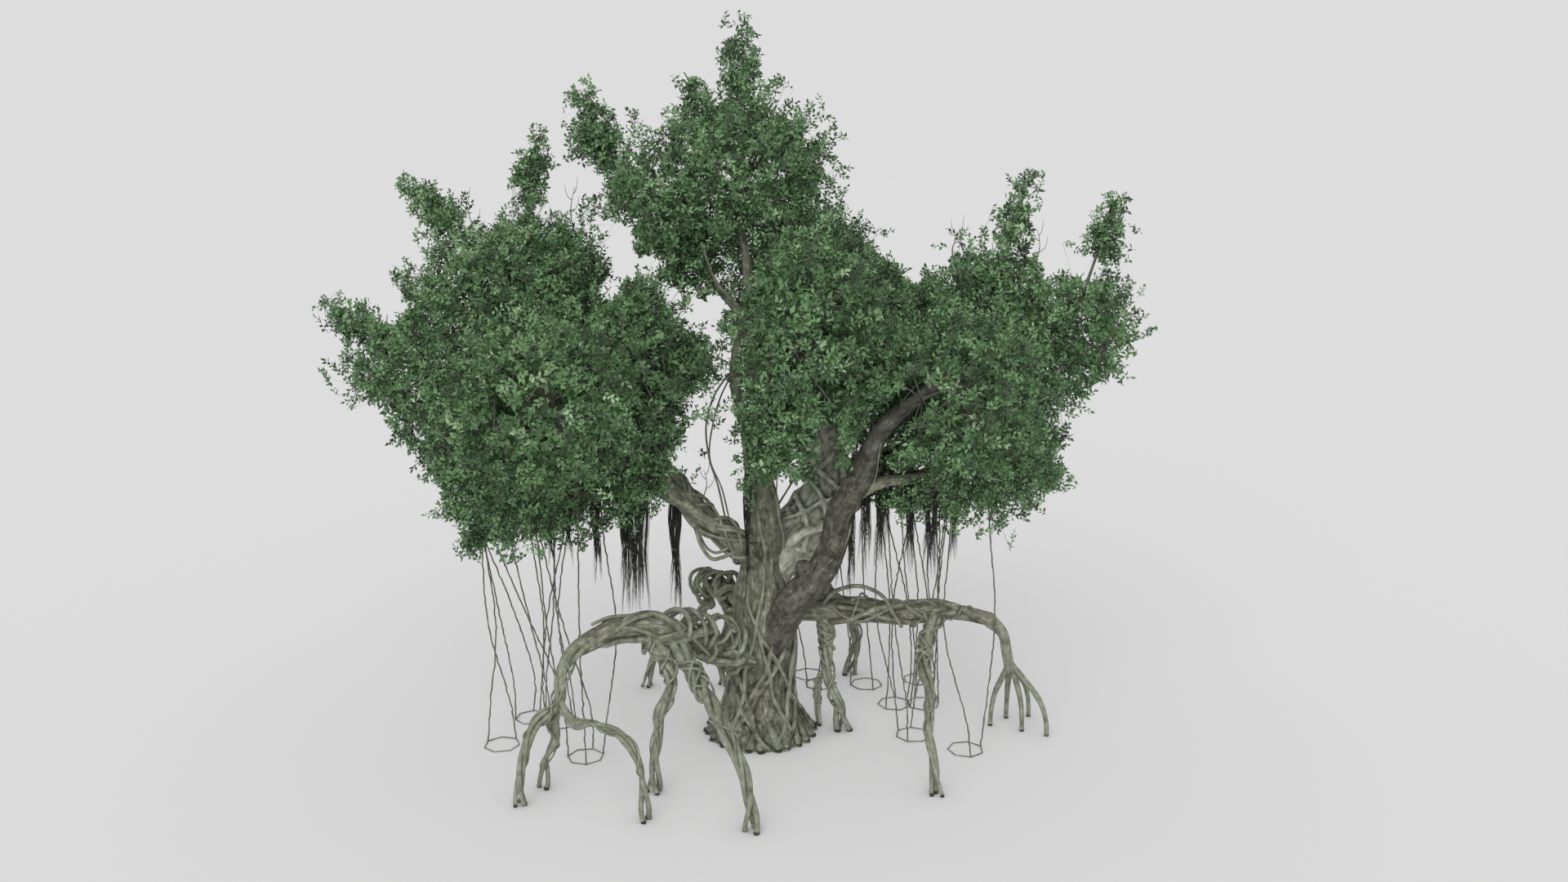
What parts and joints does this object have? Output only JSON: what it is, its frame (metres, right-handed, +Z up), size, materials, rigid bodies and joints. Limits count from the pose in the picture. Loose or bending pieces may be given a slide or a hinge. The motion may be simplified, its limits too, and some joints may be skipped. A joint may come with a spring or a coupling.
{
  "type": "banyan tree",
  "caption": "Large banyan tree with a fluted trunk, low limbs on prop roots, a spreading crown of leafy masses and thin aerial roots hanging to the ground.",
  "frame": {"origin": "on the level ground at the middle of the flat cut under the trunk", "axes": "+Z up along the trunk, +X to the right across the crown's widest spread, -Y the tree's front"},
  "size_m": [15.7622, 10.4681, 14.0748],
  "materials": {
    "bark": "rough",
    "old_bark": "rough",
    "dark_root": "rough",
    "leaf": "satin"
  },
  "bodies": {
    "root": {"bough_left": "bark", "bough_right_front": "old_bark", "bough_right_rear": "bark", "foliage_back": "leaf", "foliage_centre_front": "leaf", "foliage_left_back": "leaf", "foliage_left_front": "leaf", "foliage_left_inner": "leaf", "foliage_left_lower": "leaf", "foliage_left_outer": "leaf", "foliage_left_upper": "leaf", "foliage_right_back": "leaf", "foliage_right_front": "leaf", "foliage_right_inner": "leaf", "foliage_right_lower": "leaf", "foliage_right_outer": "leaf", "foliage_right_upper": "leaf", "foliage_top": "leaf", "foliage_top_back": "leaf", "foliage_top_left": "leaf", "limb_back": "bark", "limb_centre_front": "bark", "limb_left_back": "bark", "limb_left_front": "bark", "limb_left_inner": "bark", "limb_left_lower": "bark", "limb_left_outer": "bark", "limb_right_back": "bark", "limb_right_lower": "bark", "limb_right_outer": "bark", "limb_right_upper": "bark", "limb_top_back": "bark", "limb_top_left": "bark", "low_limb_left": "bark", "low_limb_rear_left": "bark", "low_limb_rear_right": "bark", "low_limb_right": "bark", "prop_left_front": "bark", "prop_left_inner": "bark", "prop_left_middle": "bark", "prop_left_outer": "bark", "prop_left_rear": "bark", "prop_rear_left_inner": "bark", "prop_rear_left_outer": "bark", "prop_rear_right_outer": "bark", "prop_right_claw": "bark", "prop_right_inner": "bark", "prop_right_middle": "bark", "prop_right_near": "bark", "roots_left_inner": "bark", "roots_left_middle": "bark", "roots_left_outer": "bark", "roots_right_outer": "bark", "roots_right_rear": "bark", "tassel_left": "dark_root", "tassel_left_inner": "dark_root", "tassel_right": "dark_root", "trunk": "bark"}
  },
  "joints": []
}
